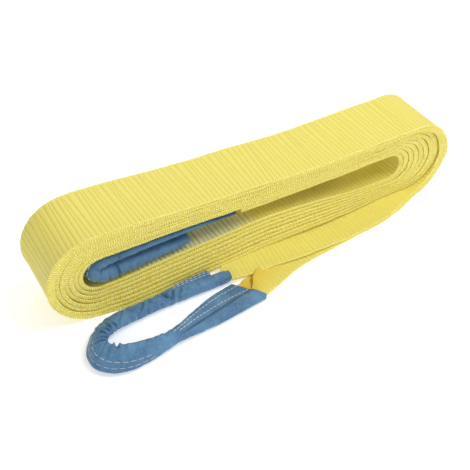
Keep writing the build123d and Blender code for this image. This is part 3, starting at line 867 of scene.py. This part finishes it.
def webbing_material():
    """Ribs from the distance along, warp yarns from the distance across, and a looped selvedge."""
    n = Nodes("yellow woven webbing")
    along, across, through = n.read("along"), n.read("across"), n.read("through")
    rib_wave = n.math("SINE", n.math("MULTIPLY", along, np.pi / RIB))
    groove = n.math("SUBTRACT", 1.0, n.ramp(n.math("ABSOLUTE", rib_wave), 0.0, 0.42))
    relief = n.math("SUBTRACT", 1.0, n.math("MULTIPLY", n.read("plain"), 0.65))
    groove = n.math("MULTIPLY", groove, relief)
    # fine warp yarns, wrapped over the ribs
    lean = n.math("MULTIPLY", along, 0.55)
    yarn = n.math("SINE", n.math("MULTIPLY", n.math("ADD", across, lean), 2 * np.pi / 1.3))
    yarn2 = n.math("SINE", n.math("MULTIPLY", n.math("SUBTRACT", across, lean), 2 * np.pi / 1.3))
    weave = n.math("MULTIPLY", yarn, yarn2)
    slow = n.noise(n.vector(n.math("MULTIPLY", along, 0.11), n.math("MULTIPLY", across, 0.02)), 1.0, 4.0)
    streak = n.noise(n.vector(n.math("MULTIPLY", along, 0.02), n.math("MULTIPLY", across, 0.9)), 1.0, 2.0)
    # the selvedge, where the weft turns back in loops
    far = n.math("SUBTRACT", WIDTH, across)
    side = n.math("MINIMUM", across, far)
    edge = n.math("SUBTRACT", 1.0, n.ramp(side, 0.9, 2.6))
    phase = n.math("MULTIPLY", n.math("ADD", along, n.math("MULTIPLY", through, 1.4)), 2 * np.pi / LOOP)
    loop = n.ramp(n.math("SINE", phase), -0.35, 0.75)
    speckle_place = n.vector(
        n.math("MULTIPLY", along, 0.55), n.math("MULTIPLY", through, 0.9), n.math("MULTIPLY", across, 0.3)
    )
    speckle = n.noise(speckle_place, 1.0, 2.0)
    loop = n.math("MULTIPLY", loop, n.ramp(speckle, 0.3, 0.6))
    # painted light: the selvedge is painted brighter towards the top and bottom of each ply, over the shade
    # that falls between the plies
    loop = n.math("MAXIMUM", loop, n.math("MULTIPLY", n.ramp(n.math("ABSOLUTE", through), 0.3, 0.62), 0.25))
    # painted shade: shade is 1 in the rib grooves and falls off towards the rib tops
    shade = n.math("SUBTRACT", 1.0, n.ramp(n.math("ABSOLUTE", rib_wave), 0.0, 0.95))
    each = n.noise(n.vector(n.math("MULTIPLY", along, 0.21), 0.0), 1.0, 1.0)
    shade = n.math("MULTIPLY", n.math("MULTIPLY", shade, relief), n.ramp(each, 0.25, 0.7))
    # painted shade: the body is darker in the rib grooves, by groove and by shade
    body = n.mix(n.math("MULTIPLY", groove, 0.5), (0.81, 0.71, 0.145), (0.52, 0.40, 0.03))
    body = n.mix(n.math("MULTIPLY", shade, 0.4), body, (0.60, 0.48, 0.05))
    body = n.mix(n.math("MULTIPLY", n.ramp(weave, -0.6, 0.9), 0.22), body, (0.95, 0.87, 0.30))
    body = n.mix(n.math("MULTIPLY", slow, 0.22), body, (0.80, 0.66, 0.08))
    body = n.mix(n.math("MULTIPLY", n.ramp(streak, 0.4, 0.75), 0.15), body, (0.90, 0.82, 0.28))
    # painted sheen: pale cream on the strap under the hollow, still darker in the rib grooves
    sheen_colour = n.mix(n.math("MULTIPLY", shade, 1.0), (0.86, 0.83, 0.52), (0.34, 0.29, 0.08))
    body = n.mix(n.math("MULTIPLY", n.read("pale"), 0.75), body, sheen_colour)
    # painted shadow in orange, in the tail's crease and over the folded-under layer
    body = n.mix(n.math("MULTIPLY", n.read("tail_shadow"), 0.75), body, (0.78, 0.50, 0.03))
    rim = n.mix(loop, (0.76, 0.62, 0.08), (1.0, 0.95, 0.36))
    colour = n.mix(edge, body, rim)
    rib_height = n.math("MULTIPLY", n.ramp(n.math("ABSOLUTE", rib_wave), 0.0, 0.8), 0.8)
    height = n.math("ADD", n.math("MULTIPLY", weave, 0.25), rib_height)
    height = n.math("ADD", height, n.math("MULTIPLY", n.math("MULTIPLY", loop, edge), 0.9))
    normal = n.bump(height, 0.00028, 0.75)
    rough = n.math("ADD", 0.55, n.math("MULTIPLY", groove, 0.2))
    return n.finish(colour, rough, normal, sheen=0.12, sheen_rough=0.4, specular=0.3)


def sleeve_material(name, shade, crease):
    """Woven blue cloth, darker by shade, with a shadow along a crease that starts between two places."""
    n = Nodes(name)
    along, across = n.read("along"), n.read("across")
    warp = n.math("SINE", n.math("MULTIPLY", along, 2 * np.pi / 0.9))
    weft = n.math("SINE", n.math("MULTIPLY", across, 2 * np.pi / 0.9))
    weave = n.math("MULTIPLY", warp, weft)
    cloud = n.noise(n.place(), 38.0, 5.0, 0.55)
    fine = n.noise(n.place(), 420.0, 3.0, 0.6)
    colour = n.mix(n.ramp(cloud, 0.3, 0.72), (0.045, 0.135, 0.275), (0.105, 0.255, 0.430))
    colour = n.mix(n.math("MULTIPLY", n.ramp(fine, 0.35, 0.7), 0.2), colour, (0.22, 0.41, 0.60))
    colour = n.mix(n.math("MULTIPLY", n.ramp(weave, -0.5, 0.9), 0.1), colour, (0.26, 0.45, 0.63))
    # painted shade: the whole cloth is darkened by the share shade
    colour = n.mix(shade, colour, (0.01, 0.03, 0.06))
    if crease:
        line = n.math("SUBTRACT", 1.0, n.ramp(n.math("ABSOLUTE", n.math("SUBTRACT", across, 14.2)), 0.1, 1.1))
        line = n.math("MULTIPLY", line, n.ramp(along, crease[0], crease[1]))
        colour = n.mix(n.math("MULTIPLY", line, 0.6), colour, (0.015, 0.045, 0.09))
    fold_place = n.vector(n.math("MULTIPLY", along, 0.16), n.math("MULTIPLY", across, 0.05))
    folds = n.noise(fold_place, 1.0, 4.0, 0.55)
    normal = n.bump(folds, 0.0032, 0.8)
    normal = n.bump(n.math("ADD", n.math("MULTIPLY", weave, 0.5), fine), 0.00018, 0.6, normal)
    return n.finish(colour, 0.5, normal, sheen=0.25, sheen_rough=0.35, specular=0.4)


def thread_material(name, light, dark):
    n = Nodes(name)
    twist = n.noise(n.place(), 900.0, 2.0)
    colour = n.mix(twist, dark, light)
    return n.finish(colour, 0.6, n.bump(twist, 0.0002, 0.5), sheen=0.2)


def label_material():
    n = Nodes("blue coated label cloth")
    grain = n.noise(n.place(), 260.0, 4.0)
    colour = n.mix(grain, (0.07, 0.16, 0.42), (0.11, 0.23, 0.52))
    return n.finish(colour, 0.42, n.bump(grain, 0.00015, 0.5), specular=0.5)


webbing = webbing_material()
cloth = sleeve_material("blue sleeve cloth", 0.0, (at_x(112, 1), at_x(150, 1)))
# painted shade: a copy of the blue cloth darkened by 0.2, for the inner eye and the sewn edge
shaded_blue = sleeve_material("blue sleeve cloth of the inner eye", 0.2, None)
white_thread = thread_material("off-white thread", (0.82, 0.81, 0.74), (0.62, 0.61, 0.54))
# a greyer, darker copy of the off-white thread, for the rows of stitches on the bight
grey_thread = thread_material("greyer off-white thread", (0.58, 0.62, 0.62), (0.40, 0.46, 0.49))
yellow_thread = thread_material("yellow thread", (0.84, 0.74, 0.30), (0.66, 0.55, 0.14))
label_cloth = label_material()


def paint(thing, material):
    thing.data.materials.clear()
    thing.data.materials.append(material)


for thing in list(straps.values()) + list(tails.values()) + [inside, inner_web]:
    paint(thing, webbing)
paint(sleeve, cloth)
paint(flange_piece, shaded_blue)
paint(inner_cloth, shaded_blue)
for thing in bight_rows:
    paint(thing, grey_thread)
for thing in sleeve_rows + [bar_tack] + inner_rows:
    paint(thing, white_thread)
paint(flap, label_cloth)
paint(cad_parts["label_hem"], label_cloth)
paint(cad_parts["label_seam"], white_thread)
for name in ("free_eye_base_stitching", "inner_eye_base_stitching"):
    paint(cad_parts[name], yellow_thread)
for thing in seam_threads:
    paint(thing, yellow_thread)

# ---- studio -------------------------------------------------------------------------------
floor_mesh = bpy.data.meshes.new("studio_floor")
floor_mesh.from_pydata([(-6, -6, 0), (6, -6, 0), (6, 6, 0), (-6, 6, 0)], [], [(0, 1, 2, 3)])
floor = bpy.data.objects.new("studio_floor", floor_mesh)
bpy.context.scene.collection.objects.link(floor)
n = Nodes("pale floor")
n.shader.inputs["Emission Color"].default_value = (1, 1, 1, 1)
n.shader.inputs["Emission Strength"].default_value = 0.38
floor_mesh.materials.append(n.finish((0.86, 0.86, 0.86, 1.0), 0.9, specular=0.0))

world = bpy.data.worlds.new("studio")
bpy.context.scene.world = world
world.use_nodes = True
world.node_tree.nodes["Background"].inputs["Color"].default_value = (1, 1, 1, 1)
world.node_tree.nodes["Background"].inputs["Strength"].default_value = 0.43


def light(name, where, size, power):
    """A soft light that faces the sling."""
    data = bpy.data.lights.new(name, "AREA")
    data.shape = "RECTANGLE"
    data.size, data.size_y = size
    data.energy = power
    lamp = bpy.data.objects.new(name, data)
    lamp.location = where
    lamp.rotation_euler = (Vector((0, 0, 0.05)) - Vector(where)).to_track_quat("-Z", "Y").to_euler()
    bpy.context.scene.collection.objects.link(lamp)


light("key", (0.75, -0.35, 1.45), (0.8, 0.8), 14)
light("front", (-0.7, -1.3, 0.75), (1.2, 0.8), 6)
light("back", (-0.1, 1.2, 1.2), (1.4, 0.8), 8)

camera_data = bpy.data.cameras.new("camera")
camera_data.lens = 65.1
camera_data.sensor_width = 36.0
camera = bpy.data.objects.new("camera", camera_data)
camera.location = (-0.4555, -0.7065, 0.779)
yaw, pitch = np.radians(29.8), np.radians(41.9)
direction = Vector((np.cos(pitch) * np.sin(yaw), np.cos(pitch) * np.cos(yaw), -np.sin(pitch)))
camera.rotation_euler = direction.to_track_quat("-Z", "Y").to_euler()
bpy.context.scene.collection.objects.link(camera)
bpy.context.scene.camera = camera
bpy.context.scene.view_settings.view_transform = "Standard"
